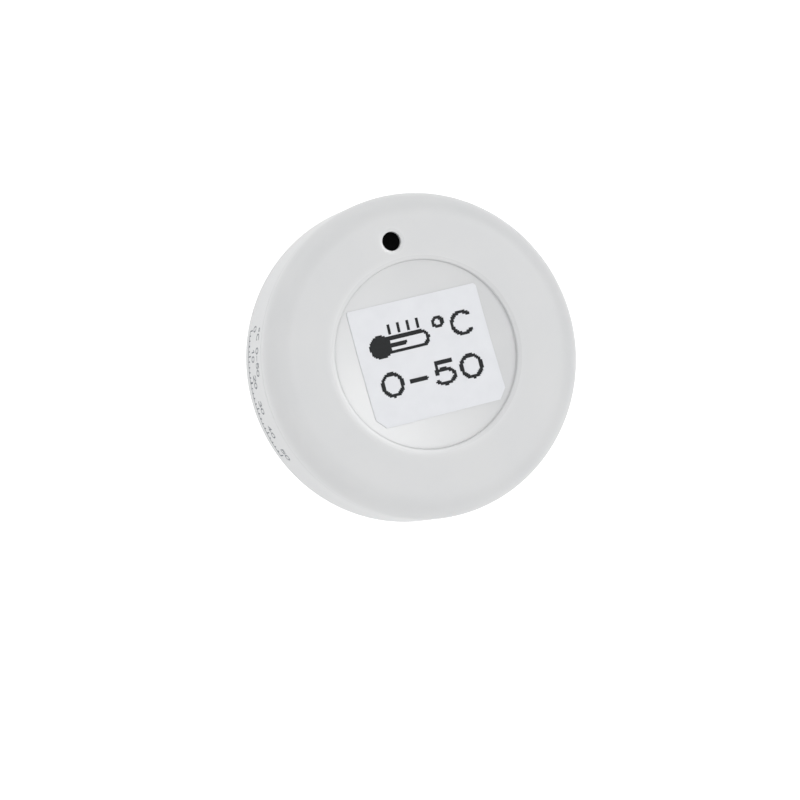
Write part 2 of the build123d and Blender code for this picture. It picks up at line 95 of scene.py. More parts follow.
# Sensing port and its boot
PORT_PLACE = 12.9
PORT_RADIUS = 1.05
PORT_FLARE = 0.3            # the port widens this much at its mouth, in a flat cone
FLARE_DEPTH = 0.034
PORT_EDGES = [0.2, 0.06, 0.05]      # roundings outside the cone, inside it and at the ceiling
PORT_BORDER = 0.05          # flat ring outside the cone
PORT_STEP = 0.2
SMOOTH_PORT = ((0, PORT_PLACE, BODY_HEIGHT), 1.0, PORT_RADIUS + 0.35, PORT_RADIUS + 0.5)
PATCH_REACH = 1.5           # the face is gridded round the port as far as this
PATCH_CELLS = 20            # cells along the grid's side
PATCH_ROWS = 6              # rows from the grid's edge to the flat ring, both counted
COLLAR_RADIUS = 2.4         # the collar under the face that holds the boot
COLLAR_BOTTOM = INNER_TOP - 0.8
BOOT_ROOM = 0.02            # between the boot and what it sits in
BOOT_RADIUS, BOOT_BOTTOM, BOOT_TOP = extent("sensor_boot")
BEAD_RADIUS, _, BEAD_TOP = extent("thermistor_bead")
BOOT_DOME = 0.06            # how far its end stands out in the middle
BOOT_EDGES = [0.08, 0.03, 0.1, 0.15, 0.05, 0.05]

# Screwed joint: the shell's skirt, the cup's socket, the ledge under the seal, and both threads
SKIRT_RADIUS = 16.2
SKIRT_BORE = 15.0
SOCKET_RADIUS = 16.6
LEDGE_HEIGHT = 3.3
CUP_BORE = 15.3
LEAD_IN = 0.25              # rounding of the skirt's end and the socket's mouth
JOINT_ROOT = 0.1            # rounding of the skirt's root and the ledge's corners
THREAD_PITCH = 1.5
THREAD_HEIGHT = 0.25
THREAD_WIDTH = 0.55
THREAD_FOOT = 0.4           # how deep a thread is sunk in its wall, as a share of its height
THREAD_EDGES = [0.02, 0.06, 0.06, 0.02]
THREAD_GROWTH = 6           # a thread reaches its full height in a turn divided by this
THREAD_STEPS = 360          # sections along a thread
SHELL_THREAD = (4.75, 6.35)         # heights at which a thread starts and ends
CUP_THREAD = (4.5, 6.2)

# Slot in the back
SLOT_HALF = 7.5             # from the middle to the centre of the slot's round end
SLOT_RADIUS = 1.0
SLOT_DEPTH = 0.6
SLOT_EDGE = 0.15
SLOT_FOOT = 0.12
SLOT_BORDER = 0.3           # flat band round the slot
SLOT_FIELD = 9.2            # inside this radius the back's grid turns from round to the slot's outline
FIELD_ROWS = 12             # rows from there to the band, both counted

# Ribs, rests and bosses inside
RIB_EDGE = 0.08             # rounding of their edges
SUNK = 0.05                 # how deep they start in the surface that they stand on
ROOTED = 0.1                # how far they reach into the walls beside them
STEP_EDGE = 0.15            # rounding of the ceiling's step and the skirt's inner edge
CEILING_ROOT = 0.2          # rounding from the skirt to the ceiling
CUP_ROOT = 0.3              # rounding from the cup's wall to its back
CUP_RIB_RING = 9.3
CUP_RIB_WIDTH = 0.7
CUP_RIB_HEIGHT = 0.3
CUP_RIB_ANGLES = np.arange(22.5, 360, 45)
BOARD_TOP = 6.4
RIB_WIDTH = 0.9
RIB_HEIGHT = 0.6
RIB_ANGLES = range(0, 360, 60)
REST_RADIUS = 14.25         # the board's rests stand outside this radius
BOSS_RING = 13.0
BOSS_RADIUS = 1.6
BOSS_ANGLES = (30, 150, 270)
KEY_RADIUS, KEY_WIDTH, KEY_BOTTOM, KEY_ANGLE = 14.2, 1.3, 5.4, 75   # lets the board in one way round

# Seal and foam pad
SEAL_HALF_WIDTH = 0.49
SEAL_POINTS = 40            # points round its section
SEAL_SQUARENESS = 4         # degree of the superellipse
PAD_SIDES = 240
PAD_WAIST = 0.09            # the pad's side is drawn in this much
PAD_CROWN = 0.08
PAD_UNEVEN = 0.02           # how far its top wanders
PAD_WANDER = 0.004          # how far its side wanders, as a share of its radius
PAD_EDGES = [0.16, 0.3, 0.05]
PAD_STEP = 0.35

# Label, turned a few degrees in the pocket
LABEL_TURN = np.radians(-4.0)
LABEL_THICKNESS = 0.1
LABEL_OUTLINE = np.array([
    (-7.62, 6.42), (7.2, 6.4), (7.45, 6.1), (7.94, -5.59),
    (7.09, -6.74), (-6.31, -6.86), (-7.36, -5.75), (-7.76, 6.2),
])
LABEL_EDGE_POINTS = 241
LABEL_STEP = 0.08           # its rows are about this share of the way to its edge apart
LABEL_LIFT = 0.005          # its back stands this far off the pocket's floor
INK_FILM = 0.012


def unit(vector):
    """The same direction, one long."""
    return vector / np.linalg.norm(vector)


def straight(start, end, step):
    """Points from start to end at (1 - cos(pi t)) / 2 of the way, so closer together near both ends."""
    count = 2 + int(np.ceil(np.linalg.norm(end - start) / step))
    way = (1 - np.cos(np.linspace(0, np.pi, count))) / 2
    return start + way[:, None] * (end - start)


def rounded_path(corners, radii, step=COARSE_STEP, arc_step=COARSE_ARC):
    """Profile of straight stretches and arcs, with points about a step apart. At each inner corner an
    arc of its radius touches both stretches: its centre is on the corner's bisector, radius /
    cos(half the turn) away."""
    corners = np.array(corners, float)
    runs = []
    at = corners[0]
    for before, corner, after, radius in zip(corners, corners[1:], corners[2:], radii):
        inward = unit(before - corner)
        onward = unit(after - corner)
        turn = np.pi - np.arccos(np.clip(inward @ onward, -1, 1))
        start = corner + inward * radius * np.tan(turn / 2)
        end = corner + onward * radius * np.tan(turn / 2)
        centre = corner + unit(inward + onward) * radius / np.cos(turn / 2)
        count = FEWEST_ARC_POINTS + int(turn * radius / arc_step)
        swing = np.linspace(0, turn, count)[:, None]
        spokes = np.sin(turn - swing) * (start - centre) + np.sin(swing) * (end - centre)
        runs += [straight(at, start, step), centre + spokes / np.sin(turn)]
        at = end
    runs.append(straight(at, corners[-1], step))
    path = np.concatenate(runs)
    apart = np.linalg.norm(np.diff(path, axis=0), axis=1) > NEAR
    return path[np.append(True, apart)]


def round_outline(sides):
    """Directions (cos a, sin a) evenly round a circle."""
    angle = np.arange(sides) * 2 * np.pi / sides
    return np.stack([np.cos(angle), np.sin(angle)], axis=1)


def slot_outline(half, radius, sides):
    """Core points and outward directions of a long slot, evenly spaced round its outline: core plus
    radius times direction is the outline, and core alone is the slot's middle line."""
    cap = np.pi * radius
    marks = np.cumsum([0, cap / 2, 2 * half, cap, 2 * half, cap / 2])
    along = np.arange(sides) * marks[-1] / sides
    angle = np.interp(along, marks, np.pi * np.array([0, 0.5, 0.5, 1.5, 1.5, 2]))
    core_x = np.interp(along, marks, half * np.array([1, 1, -1, -1, 1, 1]))
    core = np.stack([core_x, np.zeros(sides)], axis=1)
    return core, np.stack([np.cos(angle), np.sin(angle)], axis=1)


def box_outline(half_length, half_width):
    """Core points and outward directions of a rectangle with round corners, as slot_outline gives: four
    sides and four quarter turns."""
    cells = 4
    spot = np.arange(8 * cells) / cells
    x = np.interp(spot, range(9), half_length * np.array([1, 1, 1, -1, -1, -1, -1, 1, 1]))
    y = np.interp(spot, range(9), half_width * np.array([-1, 1, 1, 1, 1, -1, -1, -1, -1]))
    angle = np.interp(spot, range(9), np.pi / 2 * np.array([0, 0, 1, 1, 2, 2, 3, 3, 4]))
    return np.stack([x, y], axis=1), np.stack([np.cos(angle), np.sin(angle)], axis=1)


def stacked(core, direction, spread, radius, height):
    """Rows of points, one above another: spread times core plus radius times direction, at a height."""
    plan = np.asarray(spread)[:, None, None] * core + np.asarray(radius)[:, None, None] * direction
    level = np.broadcast_to(np.asarray(height)[:, None], plan.shape[:2])
    return np.dstack([plan, level])


def turned(path, place=(0.0, 0.0), sides=SMALL_SIDES):
    """Surface of revolution: a profile of radius and height carried round an upright axis."""
    grid = stacked(np.zeros((sides, 2)), round_outline(sides), np.ones(len(path)), path[:, 0], path[:, 1])
    return grid + np.array([place[0], place[1], 0.0])


class Mould:
    """Grids of points that become one mesh, welded where they meet."""

    def __init__(self):
        self.grids = []
        self.cells = []
        self.count = 0

    def add(self, grid, ring=True, loop=False, keep=None):
        """Adds a grid's cells, facing along row step x column step. ring closes its columns, loop
        closes its rows, and keep says which cells stay."""
        rows, columns = grid.shape[:2]
        index = self.count + np.arange(rows * columns).reshape(rows, columns)
        if ring:
            index = np.concatenate([index, index[:, :1]], axis=1)
        if loop:
            index = np.concatenate([index, index[:1]])
        cells = np.stack([index[:-1, :-1], index[1:, :-1], index[1:, 1:], index[:-1, 1:]], axis=-1)
        self.cells.append(cells.reshape(-1, 4) if keep is None else cells[keep])
        self.grids.append(grid.reshape(-1, 3))
        self.count += rows * columns
        return self

    def make(self, name):
        """Object of triangles, smooth but for edges sharper than the crease. Points that round to the
        same place become one, a triangle with two corners in one point falls away, and of two on the
        same three points, as where a rib and a rest end together, one stays."""
        points = np.concatenate(self.grids)
        cells = np.concatenate(self.cells)
        _, first, same = np.unique(np.round(points, WELD), axis=0, return_index=True, return_inverse=True)
        cells = same.ravel()[cells]
        faces = np.concatenate([cells[:, [0, 1, 2]], cells[:, [0, 2, 3]]])
        faces = faces[(faces != np.roll(faces, 1, axis=1)).all(axis=1)]
        once = np.unique(np.sort(faces, axis=1), axis=0, return_index=True)[1]
        used, faces = np.unique(faces[np.sort(once)], return_inverse=True)
        mesh = bpy.data.meshes.new(name)
        mesh.from_pydata(points[first][used] * MM, [], faces.reshape(-1, 3))
        mesh.shade_smooth()
        mesh.set_sharp_from_angle(angle=np.radians(CREASE))
        piece = bpy.data.objects.new(name, mesh)
        bpy.context.scene.collection.objects.link(piece)
        return piece


def place_piece(piece, material, body, node):
    """Gives a piece its material and the body that it moves with, and hides the node it stands for."""
    piece.data.materials.append(material)
    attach(piece, body)
    if node:
        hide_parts(node)
    return piece


# Shapes inside and outside the housing

def face_fall(radius):
    """How far the face lies below its highest ring: outwards the crown times sin squared of the way
    to the wall, inwards the lip times the square of the way to the pocket."""
    outwards = np.clip((radius - FACE_TOP_RADIUS) / (BODY_RADIUS - FACE_TOP_RADIUS), 0, 1)
    inwards = np.clip((FACE_TOP_RADIUS - radius) / (FACE_TOP_RADIUS - POCKET_RADIUS), 0, 1)
    return FACE_CROWN * np.sin(np.pi / 2 * outwards) ** 2 + FACE_LIP * inwards ** 2


def pocket_floor(radius):
    """Height of the dished floor: a parabola of the distance from the middle."""
    edge = BODY_HEIGHT - POCKET_SHALLOW
    return edge - POCKET_DISH * np.clip(1 - (radius / POCKET_RADIUS) ** 2, 0, 1)


def rounded_block(outline, size, low, high, place, turn=0.0):
    """Closed upright block: its outline shrunk to a point on the top, carried down the side and shrunk
    to a point below, with a rounded edge above and below. size is the outline's corner radius."""
    core, direction = outline
    path = rounded_path([(0, high), (size, high), (size, low), (0, low)], [RIB_EDGE, RIB_EDGE])
    spread = np.minimum(1, path[:, 0] / (size - RIB_EDGE))
    grid = stacked(core, direction, spread, path[:, 0], path[:, 1])
    turning = np.array([[np.cos(turn), np.sin(turn)], [-np.sin(turn), np.cos(turn)]])
    grid[..., :2] = grid[..., :2] @ turning + np.array(place)
    return grid


def radial_bar(inner, outer, width, low, high, degrees):
    """Moulded rib that runs outwards between two radii."""
    angle = np.radians(degrees)
    middle = (inner + outer) / 2
    corner = 2 * RIB_EDGE
    outline = box_outline((outer - inner) / 2 - corner, width / 2 - corner)
    place = (middle * np.cos(angle), middle * np.sin(angle))
    return rounded_block(outline, corner, low, high, place, angle)


def ring_section(inner, outer, low, high):
    """Closed profile of a moulded ring with rounded edges, drawn so that its surface faces outwards."""
    middle = (low + high) / 2
    corners = [(outer, middle), (outer, low), (inner, low), (inner, high), (outer, high), (outer, middle)]
    return rounded_path(corners, [RIB_EDGE] * 4)[:-1]


def thread_ridge(wall, height, span, phase):
    """Helical ridge on a wall: height = start + pitch * turns. Its section is a rounded trapezoid, a
    third as wide at the crest, that shrinks to nothing over the first and last part of a turn. A
    negative height stands inwards."""
    low, high = span
    turns = (high - low) / THREAD_PITCH
    way = np.linspace(0, 1, THREAD_STEPS)
    angle = phase + 2 * np.pi * turns * way
    full = np.clip(np.minimum(way, 1 - way) * turns * THREAD_GROWTH, 0, 1)
    full = full * full * (3 - 2 * full)
    foot = -THREAD_FOOT * height
    half = THREAD_WIDTH / 2
    side = np.sign(height)
    corners = [(foot, 0), (foot, -side * half), (height, -side * half / 3), (height, side * half / 3),
               (foot, side * half), (foot, 0)]
    section = rounded_path(corners, THREAD_EDGES)[:-1]
    radius = wall + full[:, None] * section[:, 0]
    grid = np.empty((THREAD_STEPS, len(section), 3))
    grid[..., 0] = radius * np.cos(angle)[:, None]
    grid[..., 1] = radius * np.sin(angle)[:, None]
    grid[..., 2] = (low + (high - low) * way)[:, None] + full[:, None] * section[:, 1]
    return grid


def patch_border(cells):
    """Points round the edge of a square of grid points, clockwise seen from the face."""
    around = [cells[:-1, 0], cells[-1, :-1], cells[:0:-1, -1], cells[0, :0:-1]]
    return np.concatenate(around)[::-1]


def port_wall(top, bottom):
    """Surface from a square gap in the face, through the port's flared mouth and bore, to the same gap
    in the face's underside. Between the gap and the mouth a point is a blend of square and circle."""
    port = np.array([0.0, PORT_PLACE])
    first = np.arctan2(top[0, 1] - PORT_PLACE, top[0, 0])
    angle = first - np.arange(len(top)) * 2 * np.pi / len(top)
    direction = np.stack([np.cos(angle), np.sin(angle)], axis=1)
    flared = PORT_RADIUS + PORT_FLARE
    wide = flared + PORT_BORDER
    path = rounded_path(
        [(wide, BODY_HEIGHT), (flared, BODY_HEIGHT), (PORT_RADIUS, BODY_HEIGHT - FLARE_DEPTH),
         (PORT_RADIUS, INNER_TOP), (wide, INNER_TOP)],
        PORT_EDGES, PORT_STEP, FINE_ARC)
    bore = stacked(port, direction, np.ones(len(path)), path[:, 0], path[:, 1])
    way = np.linspace(0, 1, PATCH_ROWS)[:-1, None, None]
    above = (1 - way) * top + way * bore[0]
    below = (1 - way[::-1]) * bottom + way[::-1] * bore[-1]
    grid = np.concatenate([above, bore, below])
    radius = np.hypot(grid[..., 0], grid[..., 1])
    share = (grid[..., 2] - INNER_TOP) / (BODY_HEIGHT - INNER_TOP)
    grid[..., 2] -= share * face_fall(radius)
    return grid


def front_shell_mould():
    """Front half: a profile turned about the axis, with the port let into it, and what is moulded
    inside it as closed blocks that stand in its walls."""
    near, far = PORT_PLACE - PATCH_REACH, PORT_PLACE + PATCH_REACH
    pocket = BODY_HEIGHT - POCKET_SHALLOW
    inner = rounded_path(
        [(0, pocket), (POCKET_RADIUS, pocket), (POCKET_RADIUS + POCKET_LEAN, BODY_HEIGHT),
         (near, BODY_HEIGHT)],
        [POCKET_FOOT, POCKET_RIM], arc_step=POCKET_ARC)
    outer = rounded_path(
        [(far, BODY_HEIGHT), (BODY_RADIUS, BODY_HEIGHT), (BODY_RADIUS, SPLIT_HEIGHT),
         (SKIRT_RADIUS, SPLIT_HEIGHT), (SKIRT_RADIUS, SKIRT_END), (SKIRT_BORE, SKIRT_END),
         (SKIRT_BORE, INNER_TOP), (far, INNER_TOP)],
        [EDGE_RADIUS, SPLIT_EDGE, JOINT_ROOT, LEAD_IN, STEP_EDGE, CEILING_ROOT])
    under = rounded_path(
        [(near, INNER_TOP), (STEP_RADIUS, INNER_TOP), (STEP_RADIUS, POCKET_UNDER), (0, POCKET_UNDER)],
        [STEP_EDGE, STEP_EDGE])
    across = np.linspace(near, far, PATCH_CELLS + 1)[1:-1]
    top_rows = np.stack([across, np.full(len(across), BODY_HEIGHT)], axis=1)
    under_rows = np.stack([across[::-1], np.full(len(across), INNER_TOP)], axis=1)
    path = np.concatenate([inner, top_rows, outer, under_rows, under])
    grid = turned(path, sides=SIDES)

    # The square of cells that the port takes out of the face, and out of its underside
    first = SIDES // 4 - PATCH_CELLS // 2
    columns = slice(first, first + PATCH_CELLS)
    edge_columns = slice(first, first + PATCH_CELLS + 1)
    keep = np.ones((len(path) - 1, SIDES), bool)
    gaps = []
    for start in (len(inner) - 1, len(inner) + len(across) + len(outer) - 1):
        keep[start:start + PATCH_CELLS, columns] = False
        gaps.append(grid[start:start + PATCH_CELLS + 1, edge_columns].copy())

    # Crown of the face and dish of the pocket, on the rows before the parting line
    radius, height = path[:np.argmax(path[:, 1] <= SPLIT_HEIGHT + SPLIT_EDGE)].T
    rise = np.clip((height - pocket) / POCKET_SHALLOW, 0, 1)
    dish = np.where(radius <= POCKET_RADIUS, pocket - pocket_floor(radius), 0)
    grid[:len(radius), :, 2] -= (dish + rise * face_fall(radius))[:, None]

    mould = Mould().add(grid, keep=keep)
    mould.add(port_wall(patch_border(gaps[0]), patch_border(gaps[1][::-1])))
    mould.add(thread_ridge(SKIRT_RADIUS, THREAD_HEIGHT, SHELL_THREAD, 0.0))
    sunk = INNER_TOP + SUNK
    wall = SKIRT_BORE + ROOTED
    collar = ring_section(BOOT_RADIUS + BOOT_ROOM, COLLAR_RADIUS, COLLAR_BOTTOM, sunk)
    mould.add(turned(collar, (0, PORT_PLACE)), loop=True)
    for angle in RIB_ANGLES:
        mould.add(radial_bar(STEP_RADIUS - ROOTED, wall, RIB_WIDTH, INNER_TOP - RIB_HEIGHT, sunk, angle))
        mould.add(radial_bar(REST_RADIUS, wall, RIB_WIDTH, BOARD_TOP, sunk, angle))
    for angle in BOSS_ANGLES:
        place = BOSS_RING * np.cos(np.radians(angle)), BOSS_RING * np.sin(np.radians(angle))
        circle = np.zeros((SMALL_SIDES, 2)), round_outline(SMALL_SIDES)
        mould.add(rounded_block(circle, BOSS_RADIUS, BOARD_TOP, sunk, place))
        mould.add(radial_bar(REST_RADIUS, wall, RIB_WIDTH, BOARD_TOP, sunk, angle))
    mould.add(radial_bar(KEY_RADIUS, wall, KEY_WIDTH, KEY_BOTTOM, sunk, KEY_ANGLE))
    return mould


def cup_wall(height):
    """Radius of the cup's drafted outer wall at a height."""
    return BODY_RADIUS - DRAFT_AT_BACK + (DRAFT_AT_BACK - DRAFT_AT_TOP) * height / CUP_TOP


def rear_cup_mould():
    """Rear half: a profile turned about the axis, whose last rows blend from a circle to the outline
    of the coin slot, go down its side and close on its middle line."""
    path = rounded_path(
        [(0, REAR_WALL), (CUP_BORE, REAR_WALL), (CUP_BORE, LEDGE_HEIGHT), (SOCKET_RADIUS, LEDGE_HEIGHT),
         (SOCKET_RADIUS, CUP_TOP), (cup_wall(CUP_TOP), CUP_TOP), (cup_wall(0), 0), (SLOT_FIELD, 0)],
        [CUP_ROOT, JOINT_ROOT, JOINT_ROOT, LEAD_IN, SPLIT_EDGE, BACK_EDGE])
    body = turned(path, sides=SIDES)
    core, direction = slot_outline(SLOT_HALF, SLOT_RADIUS, SIDES)
    wide = SLOT_RADIUS + SLOT_BORDER
    side = rounded_path([(wide, 0), (SLOT_RADIUS, 0), (SLOT_RADIUS, SLOT_DEPTH), (0, SLOT_DEPTH)],
                        [SLOT_EDGE, SLOT_FOOT], FINE_STEP, FINE_ARC)
    slot = stacked(core, direction, np.ones(len(side)), side[:, 0], side[:, 1])
    way = np.linspace(0, 1, FIELD_ROWS)[1:-1, None, None]
    field = (1 - way) * body[-1] + way * slot[0]
    mould = Mould().add(np.concatenate([body, field, slot]))
    mould.add(thread_ridge(SOCKET_RADIUS, -THREAD_HEIGHT, CUP_THREAD, np.pi))
    rib_top = REAR_WALL + CUP_RIB_HEIGHT
    foot = REAR_WALL - SUNK
    ring = ring_section(CUP_RIB_RING - CUP_RIB_WIDTH, CUP_RIB_RING, foot, rib_top)
    mould.add(turned(ring, sides=SIDES // 2), loop=True)
    for angle in CUP_RIB_ANGLES:
        mould.add(radial_bar(CUP_RIB_RING - ROOTED, CUP_BORE + ROOTED, CUP_RIB_WIDTH, foot, rib_top, angle))
    return mould


def seal_mould():
    """Rubber ring squeezed flat: a superellipse carried round the axis. Each point of a circle is
    divided by the root of |cosine| to the degree plus |sine| to the degree."""
    outer, bottom, top = extent("seal_ring")
    angle = -np.arange(SEAL_POINTS) * 2 * np.pi / SEAL_POINTS
    bulge = np.abs(np.cos(angle)) ** SEAL_SQUARENESS + np.abs(np.sin(angle)) ** SEAL_SQUARENESS
    shrink = bulge ** (1 / SEAL_SQUARENESS)
    path = np.stack([
        outer - SEAL_HALF_WIDTH + SEAL_HALF_WIDTH * np.cos(angle) / shrink,
        (bottom + top) / 2 + (top - bottom) / 2 * np.sin(angle) / shrink,
    ], axis=1)
    return Mould().add(turned(path, sides=SIDES), loop=True)


def pad_mould():
    """Foam disc: crowned on top by a parabola, its side drawn in between two rounded edges, and its
    surface uneven as cut foam is, by the sum of two sines that turn and spiral round the axis."""
    radius, bottom, top = extent("pressure_pad")
    middle = (bottom + top) / 2
    path = rounded_path(
        [(0, top), (radius, top), (radius - PAD_WAIST, middle), (radius, bottom), (0, bottom)],
        PAD_EDGES, PAD_STEP, FINE_ARC)
    grid = turned(path, sides=PAD_SIDES)
    turn = np.arctan2(grid[..., 1], grid[..., 0])
    reach = np.hypot(grid[..., 0], grid[..., 1])
    wander = 0.5 + 0.25 * np.sin(5 * turn + 0.7 * reach) + 0.25 * np.sin(11 * turn - 1.3 * reach)
    upper = np.clip((grid[..., 2] - middle) / (top - middle), 0, 1)
    grid[..., 2] -= upper * (PAD_CROWN * (reach / radius) ** 2 + PAD_UNEVEN * wander * np.minimum(1, reach))
    grid[..., :2] *= (1 - PAD_WANDER * wander * (reach / radius) ** 4)[..., None]
    return Mould().add(grid)


def boot_mould():
    """Rubber cap turned about the port's axis: a domed nipple, a shoulder and the bead's bore."""
    nipple = PORT_RADIUS - BOOT_ROOM
    path = rounded_path(
        [(0, BOOT_TOP), (nipple, BOOT_TOP - BOOT_DOME), (nipple, INNER_TOP), (BOOT_RADIUS, INNER_TOP),
         (BOOT_RADIUS, BOOT_BOTTOM), (BEAD_RADIUS, BOOT_BOTTOM), (BEAD_RADIUS, BEAD_TOP), (0, BEAD_TOP)],
        BOOT_EDGES, FINE_STEP, FINE_ARC)
    return Mould().add(turned(path, (0, PORT_PLACE)))


def on_label(x, y, lift):
    """Point of the label's plane, turned and laid on the dished floor of the pocket."""
    across = x * np.cos(LABEL_TURN) - y * np.sin(LABEL_TURN)
    up = x * np.sin(LABEL_TURN) + y * np.cos(LABEL_TURN)
    return np.stack([across, up, pocket_floor(np.hypot(across, up)) + lift], axis=-1)


def label_mould():
    """Paper: its outline shrunk to a point above and below, laid on the dished floor."""
    closed = np.concatenate([LABEL_OUTLINE, LABEL_OUTLINE[:1]])[::-1]
    marks = np.append(0, np.cumsum(np.linalg.norm(np.diff(closed, axis=0), axis=1)))
    along = np.unique(np.append(np.linspace(0, marks[-1], LABEL_EDGE_POINTS), marks))[:-1]
    rim = np.stack([np.interp(along, marks, closed[:, 0]), np.interp(along, marks, closed[:, 1])], axis=1)
    path = rounded_path([(0, LABEL_THICKNESS), (1, LABEL_THICKNESS), (1, LABEL_LIFT), (0, LABEL_LIFT)],
                        [0.0, 0.0], LABEL_STEP)
    x, y = path[:, :1] * rim[:, 0], path[:, :1] * rim[:, 1]
    return Mould().add(on_label(x, y, path[:, 1:])[:, ::-1])


# Printing, drawn as strokes and laid down as square dots

ARC_POINTS = 25


def arc(centre, radii, start, end):
    """Points on an ellipse between two angles in degrees."""
    angle = np.radians(np.linspace(start, end, ARC_POINTS))
    return np.array(centre) + np.array(radii) * np.stack([np.cos(angle), np.sin(angle)], axis=1)


FIGURES = {
    "0": [arc((0.5, 0.5), (0.5, 0.5), 0, 360)],
    "1": [[(0.2, 0.75), (0.6, 1), (0.6, 0)]],
    "2": [[*arc((0.5, 0.7), (0.48, 0.3), 165, -40), (0.02, 0), (1, 0)]],
    "3": [arc((0.45, 0.76), (0.42, 0.24), 150, -90), arc((0.45, 0.26), (0.5, 0.26), 90, -150)],
    "4": [[(0.72, 0), (0.72, 1), (0, 0.3), (1, 0.3)]],
    "5": [[(0.92, 1), (0.16, 1), (0.1, 0.5)], arc((0.46, 0.33), (0.5, 0.33), 140, -145)],
    "C": [arc((0.52, 0.5), (0.5, 0.5), 48, 312)],
    "-": [[(0.1, 0.46), (0.9, 0.46)]],
    "o": [arc((0.5, 0.8), (0.24, 0.2), 0, 360)],
}

# Lying thermometer on the label
BULB_RADIUS = 1.1
BULB_RINGS = np.linspace(0.15, 1, 4)        # rings that fill the bulb, as shares of its radius
GLASS_RADIUS = 0.76
NECK = 1.95                 # where the glass leaves the bulb, as a multiple of the bulb's radius
COLUMN = 0.6                # how far the thread in the glass reaches, as a share of the whole length
MARK_START = 0.335          # from the neck to the first graduation: it stands between two dots
MARK_STEP = 1.12
MARK_LOW, MARK_HIGH = 1.4, 2.05     # ends of a graduation above the thermometer's middle

# Where each print's dots lie, their spacing and the strokes' width
LABEL_FIELD = ((-6.6, -4.5), (6.9, 4.3))
LABEL_DOT, LABEL_STROKE = 0.16, 0.4
WALL_FIELD = ((0.0, 1.2), (17.2, 6.0))
WALL_DOT, WALL_STROKE = 0.07, 0.15
WALL_PRINT_START = np.radians(151.5)        # angle round the body of the wall's field


def figures(text, left, base, width, height, pitch):
    """Strokes of a row of figures, from the first one's lower left corner; o is the degree ring."""
    rows = []
    for place, figure in enumerate(text):
        corner = np.array([left + place * pitch, base])
        rows += [corner + np.array(stroke) * (width, height) for stroke in FIGURES[figure]]
    return rows


def thermometer(left, middle, length):
    """Lying thermometer: a bulb filled with rings, a glass tube with a round end, the thread in it, and
    graduations above."""
    tube_end = left + length - GLASS_RADIUS
    neck = left + BULB_RADIUS * NECK
    centre = (left + BULB_RADIUS, middle)
    rows = [arc(centre, (size, size), 0, 360) for size in BULB_RINGS * BULB_RADIUS]
    for level in (middle - GLASS_RADIUS, middle + GLASS_RADIUS):
        rows.append([(neck, level), (tube_end, level)])
    rows.append(arc((tube_end, middle), (GLASS_RADIUS, GLASS_RADIUS), -90, 90))
    rows.append([centre, (left + COLUMN * length, middle)])
    for mark in np.arange(neck + MARK_START, tube_end, MARK_STEP):
        rows.append([(mark, middle + MARK_LOW), (mark, middle + MARK_HIGH)])
    return rows


def dots(strokes, low, high, dot, stroke):
    """Which squares of a grid lie within half a stroke of any line: distance from the square's middle
    to the nearest point of each segment."""
    starts = np.concatenate([np.array(points)[:-1] for points in strokes])
    ends = np.concatenate([np.array(points)[1:] for points in strokes])
    across, up = (np.arange(begin, end, dot) for begin, end in zip(low, high))
    middles = np.stack(np.meshgrid(across[:-1] + dot / 2, up[:-1] + dot / 2, indexing="ij"), axis=-1)
    run = ends - starts
    offset = middles[:, :, None] - starts
    share = (offset * run).sum(-1) / np.maximum((run * run).sum(-1), NEAR ** 2)
    gap = np.linalg.norm(offset - np.clip(share, 0, 1)[..., None] * run, axis=-1)
    return across, up, gap.min(axis=-1) < stroke / 2


def ink_film(name, strokes, field, dot, stroke, lay):
    """Dots joined into a film that lay puts on its surface; its thickness goes down into that."""
    across, up, inked = dots(strokes, *field, dot, stroke)
    x, y = np.meshgrid(across, up, indexing="ij")
    piece = Mould().add(lay(x, y), ring=False, keep=inked).make(name)
    thickness = piece.modifiers.new("film", "SOLIDIFY")
    thickness.thickness = INK_FILM * MM
    thickness.offset = -1
    return piece


def label_print():
    """Lying thermometer and the degree sign above, the range below, in the middle of the label."""
    upper, lower, width, height = 1.25, -3.6, 2.3, 2.4
    rows = thermometer(-5.88, 1.85, 6.7)
    rows += figures("o", 1.1, upper, width, height, 0)
    rows += figures("C", 3.75, upper, height, height, 0)
    rows += figures("0-50", -5.6, lower, width, height, 3.1)

    def lay(x, y):
        return on_label(x, y, LABEL_THICKNESS + INK_FILM)

    return ink_film("label_print", rows, LABEL_FIELD, LABEL_DOT, LABEL_STROKE, lay)


def wall_print():
    """Scale of temperature round the side: graduations, their numbers, and the unit and range above."""
    start, base = 0.4, 1.55
    tens, step, minor = 5, 2.9, 5
    tall, short = 0.9, 0.45
    width, height, pitch = 0.6, 0.95, 0.82
    numbers, heading, half_figure = 3.0, 4.7, 0.36
    rows = [[(start, base), (start + tens * step, base)]]
    for mark in range(tens * minor + 1):
        place = start + mark * step / minor
        rows.append([(place, base), (place, base + (short if mark % minor else tall))])
    for mark in range(tens + 1):
        text = str(10 * mark)
        left = start + mark * step - half_figure * len(text)
        rows += figures(text, left, numbers, width, height, pitch)
    rows += figures("oC", 0.2, heading, 0.75, height, 0.85)
    rows += figures("0-50", 2.6, heading, width, height, pitch)

    def lay(x, y):
        radius = cup_wall(y) + INK_FILM / 2
        angle = WALL_PRINT_START + x / BODY_RADIUS
        return np.stack([radius * np.cos(angle), radius * np.sin(angle), y], axis=-1)

    return ink_film("wall_print", rows, WALL_FIELD, WALL_DOT, WALL_STROKE, lay)


# Finishes

CLOUD_LOW, CLOUD_HIGH = 0.3, 0.7            # nearly all of a noise lies between these
PATCH_DARK, PATCH_LIGHT = 0.35, 0.65        # a colour patch turns from dark to light between these
MIX_FIRST, MIX_SECOND, MIX_RESULT = 6, 7, 2     # a Mix node's sockets for colours


